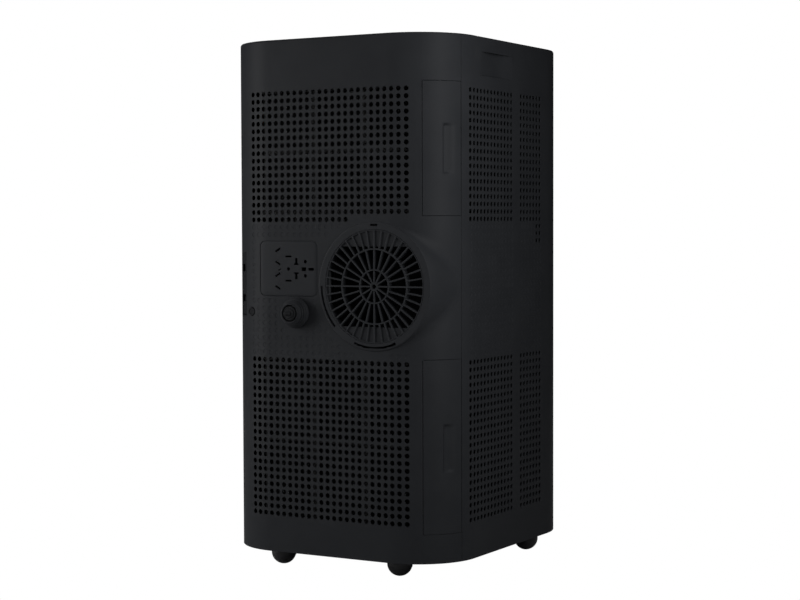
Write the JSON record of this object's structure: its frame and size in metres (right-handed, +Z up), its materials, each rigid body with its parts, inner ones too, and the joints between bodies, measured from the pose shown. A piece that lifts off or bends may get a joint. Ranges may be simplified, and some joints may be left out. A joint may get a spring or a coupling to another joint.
{
  "type": "portable air conditioner",
  "caption": "Tall black portable air conditioner on ball casters, with perforated rear and sides, slide-out filters, a round exhaust outlet, a drain port and a louvred front outlet.",
  "frame": {"origin": "on the floor, under the middle of the whole object's box", "axes": "+Z up; +Y towards the service side, with the intakes, exhaust and drain; the air outlet faces -Y; +X is to the right of someone who faces +Y from the front"},
  "size_m": [0.355, 0.428, 0.72],
  "materials": {
    "casing_plastic": "fine textured moulded plastic",
    "gloss_panel": "polished",
    "window": "smoked",
    "button": "satin",
    "caster_plastic": "satin, scuffed",
    "caster_yoke": "moulded",
    "inner_plastic": "moulded",
    "foam_plastic": "expanded foam look",
    "rubber": "matte",
    "filter_net": "woven nylon net",
    "filter_felt": "black non-woven felt",
    "coil_aluminium": "rolled fins",
    "copper_pipe": "drawn copper",
    "motor_steel": "painted",
    "compressor_steel": "black enamel",
    "zinc_steel": "zinc plated",
    "circuit_board": "solder mask"
  },
  "bodies": {
    "casing": {"base_pan": "casing_plastic", "rear_cover": "casing_plastic", "side_panel_left": "casing_plastic", "side_panel_right": "casing_plastic", "front_panel": "casing_plastic", "top_cover": "casing_plastic", "control_panel": "gloss_panel", "display_window": "window", "control_board": "circuit_board", "exhaust_grille": "casing_plastic", "exhaust_duct": "inner_plastic", "plug_plate": "casing_plastic", "drain_spigot": "inner_plastic", "cord_gland": "rubber", "outlet_frame": "inner_plastic", "filter_guides": "inner_plastic", "side_screens": "filter_felt", "middle_deck": "inner_plastic", "evaporator_coil": "coil_aluminium", "condenser_coil": "coil_aluminium", "evaporator_scroll": "foam_plastic", "condenser_scroll": "inner_plastic", "evaporator_motor": "motor_steel", "condenser_motor": "motor_steel", "compressor": "compressor_steel", "compressor_mounts": "rubber", "compressor_bolts": "zinc_steel", "refrigerant_pipes": "copper_pipe", "control_box": "zinc_steel"},
    "louvre_blade_1": {"louvre_blade_1": "casing_plastic"},
    "louvre_blade_2": {"louvre_blade_2": "casing_plastic"},
    "louvre_blade_3": {"louvre_blade_3": "casing_plastic"},
    "vane_1": {"vane_1": "inner_plastic"},
    "vane_2": {"vane_2": "inner_plastic"},
    "vane_3": {"vane_3": "inner_plastic"},
    "vane_4": {"vane_4": "inner_plastic"},
    "evaporator_fan": {"evaporator_fan": "inner_plastic"},
    "condenser_fan": {"condenser_fan": "inner_plastic"},
    "upper_filter": {"upper_filter_tab": "casing_plastic", "upper_filter_frame": "inner_plastic", "upper_filter_mesh": "filter_net"},
    "lower_filter": {"lower_filter_tab": "casing_plastic", "lower_filter_frame": "inner_plastic", "lower_filter_mesh": "filter_net"},
    "drain_washer": {"drain_washer": "rubber"},
    "drain_collar": {"drain_collar": "casing_plastic"},
    "drain_plug": {"drain_plug": "rubber"},
    "caster_yoke_rear_left": {"caster_yoke_rear_left": "caster_yoke"},
    "caster_ball_rear_left": {"caster_ball_rear_left": "caster_plastic"},
    "caster_yoke_rear_right": {"caster_yoke_rear_right": "caster_yoke"},
    "caster_ball_rear_right": {"caster_ball_rear_right": "caster_plastic"},
    "caster_yoke_front_left": {"caster_yoke_front_left": "caster_yoke"},
    "caster_ball_front_left": {"caster_ball_front_left": "caster_plastic"},
    "caster_yoke_front_right": {"caster_yoke_front_right": "caster_yoke"},
    "caster_ball_front_right": {"caster_ball_front_right": "caster_plastic"},
    "control_button_1": {"control_button_1": "button"},
    "control_button_2": {"control_button_2": "button"},
    "control_button_3": {"control_button_3": "button"},
    "control_button_4": {"control_button_4": "button"},
    "control_button_5": {"control_button_5": "button"}
  },
  "joints": [
    {"name": "louvre_1_tilt", "type": "hinge", "parent": "casing", "child": "louvre_blade_1", "pos_m": [0, -0.199, 0.628], "axis": [1, 0, 0], "range_deg": [0, 80]},
    {"name": "louvre_2_tilt", "type": "hinge", "parent": "casing", "child": "louvre_blade_2", "pos_m": [0, -0.199, 0.65], "axis": [1, 0, 0], "range_deg": [0, 80]},
    {"name": "louvre_3_tilt", "type": "hinge", "parent": "casing", "child": "louvre_blade_3", "pos_m": [0, -0.199, 0.672], "axis": [1, 0, 0], "range_deg": [0, 80]},
    {"name": "vane_1_turn", "type": "hinge", "parent": "casing", "child": "vane_1", "pos_m": [-0.09, -0.164, 0.65], "axis": [0, 0, 1], "range_deg": [-35, 35]},
    {"name": "vane_2_turn", "type": "hinge", "parent": "casing", "child": "vane_2", "pos_m": [-0.03, -0.164, 0.65], "axis": [0, 0, 1], "range_deg": [-35, 35]},
    {"name": "vane_3_turn", "type": "hinge", "parent": "casing", "child": "vane_3", "pos_m": [0.03, -0.164, 0.65], "axis": [0, 0, 1], "range_deg": [-35, 35]},
    {"name": "vane_4_turn", "type": "hinge", "parent": "casing", "child": "vane_4", "pos_m": [0.09, -0.164, 0.65], "axis": [0, 0, 1], "range_deg": [-35, 35]},
    {"name": "evaporator_fan_spin", "type": "hinge", "parent": "casing", "child": "evaporator_fan", "pos_m": [0.01, 0.065, 0.572], "axis": [0, 1, 0], "continuous": true},
    {"name": "condenser_fan_spin", "type": "hinge", "parent": "casing", "child": "condenser_fan", "pos_m": [-0.012, 0.065, 0.192], "axis": [0, 1, 0], "continuous": true},
    {"name": "upper_filter_slide", "type": "slide", "parent": "casing", "child": "upper_filter", "axis": [-1, 0, 0], "range_m": [0, 0.28]},
    {"name": "lower_filter_slide", "type": "slide", "parent": "casing", "child": "lower_filter", "axis": [-1, 0, 0], "range_m": [0, 0.28]},
    {"name": "drain_washer_slide", "type": "slide", "parent": "casing", "child": "drain_washer", "axis": [0, 1, 0], "range_m": [0, 0.01]},
    {"name": "drain_collar_turn", "type": "hinge", "parent": "drain_washer", "child": "drain_collar", "pos_m": [0.0475, 0.2, 0.352], "axis": [0, 1, 0], "range_deg": [0, 1440]},
    {"name": "drain_plug_pull", "type": "slide", "parent": "casing", "child": "drain_plug", "axis": [0, 1, 0], "range_m": [0, 0.03]},
    {"name": "rear_left_caster_swivel", "type": "hinge", "parent": "casing", "child": "caster_yoke_rear_left", "pos_m": [-0.093, 0.1337, 0.04], "axis": [0, 0, 1], "continuous": true},
    {"name": "rear_left_caster_roll", "type": "hinge", "parent": "caster_yoke_rear_left", "child": "caster_ball_rear_left", "pos_m": [-0.08521, 0.1382, 0.01712], "axis": [-0.5, 0.866, 0], "continuous": true},
    {"name": "rear_right_caster_swivel", "type": "hinge", "parent": "casing", "child": "caster_yoke_rear_right", "pos_m": [0.093, 0.1337, 0.04], "axis": [0, 0, 1], "continuous": true},
    {"name": "rear_right_caster_roll", "type": "hinge", "parent": "caster_yoke_rear_right", "child": "caster_ball_rear_right", "pos_m": [0.10079, 0.1382, 0.01712], "axis": [-0.5, 0.866, 0], "continuous": true},
    {"name": "front_left_caster_swivel", "type": "hinge", "parent": "casing", "child": "caster_yoke_front_left", "pos_m": [-0.138, -0.1174, 0.04], "axis": [0, 0, 1], "continuous": true},
    {"name": "front_left_caster_roll", "type": "hinge", "parent": "caster_yoke_front_left", "child": "caster_ball_front_left", "pos_m": [-0.14579, -0.1219, 0.01712], "axis": [0.5, -0.866, 0], "continuous": true},
    {"name": "front_right_caster_swivel", "type": "hinge", "parent": "casing", "child": "caster_yoke_front_right", "pos_m": [0.138, -0.1174, 0.04], "axis": [0, 0, 1], "continuous": true},
    {"name": "front_right_caster_roll", "type": "hinge", "parent": "caster_yoke_front_right", "child": "caster_ball_front_right", "pos_m": [0.14579, -0.1129, 0.01712], "axis": [-0.5, 0.866, 0], "continuous": true},
    {"name": "button_1_press", "type": "slide", "parent": "casing", "child": "control_button_1", "axis": [0, 0, -1], "range_m": [0, 0.0012], "stiffness_N_per_m": 400, "springref_m": -0.002},
    {"name": "button_2_press", "type": "slide", "parent": "casing", "child": "control_button_2", "axis": [0, 0, -1], "range_m": [0, 0.0012], "stiffness_N_per_m": 400, "springref_m": -0.002},
    {"name": "button_3_press", "type": "slide", "parent": "casing", "child": "control_button_3", "axis": [0, 0, -1], "range_m": [0, 0.0012], "stiffness_N_per_m": 400, "springref_m": -0.002},
    {"name": "button_4_press", "type": "slide", "parent": "casing", "child": "control_button_4", "axis": [0, 0, -1], "range_m": [0, 0.0012], "stiffness_N_per_m": 400, "springref_m": -0.002},
    {"name": "button_5_press", "type": "slide", "parent": "casing", "child": "control_button_5", "axis": [0, 0, -1], "range_m": [0, 0.0012], "stiffness_N_per_m": 400, "springref_m": -0.002}
  ],
  "couplings": [
    {"joint": "louvre_1_tilt", "follows": "louvre_2_tilt", "ratio": 1},
    {"joint": "louvre_3_tilt", "follows": "louvre_2_tilt", "ratio": 1},
    {"joint": "vane_1_turn", "follows": "vane_2_turn", "ratio": 1},
    {"joint": "vane_3_turn", "follows": "vane_2_turn", "ratio": 1},
    {"joint": "vane_4_turn", "follows": "vane_2_turn", "ratio": 1},
    {"joint": "drain_washer_slide", "follows": "drain_collar_turn", "m_per_rad": 0.00039789}
  ]
}
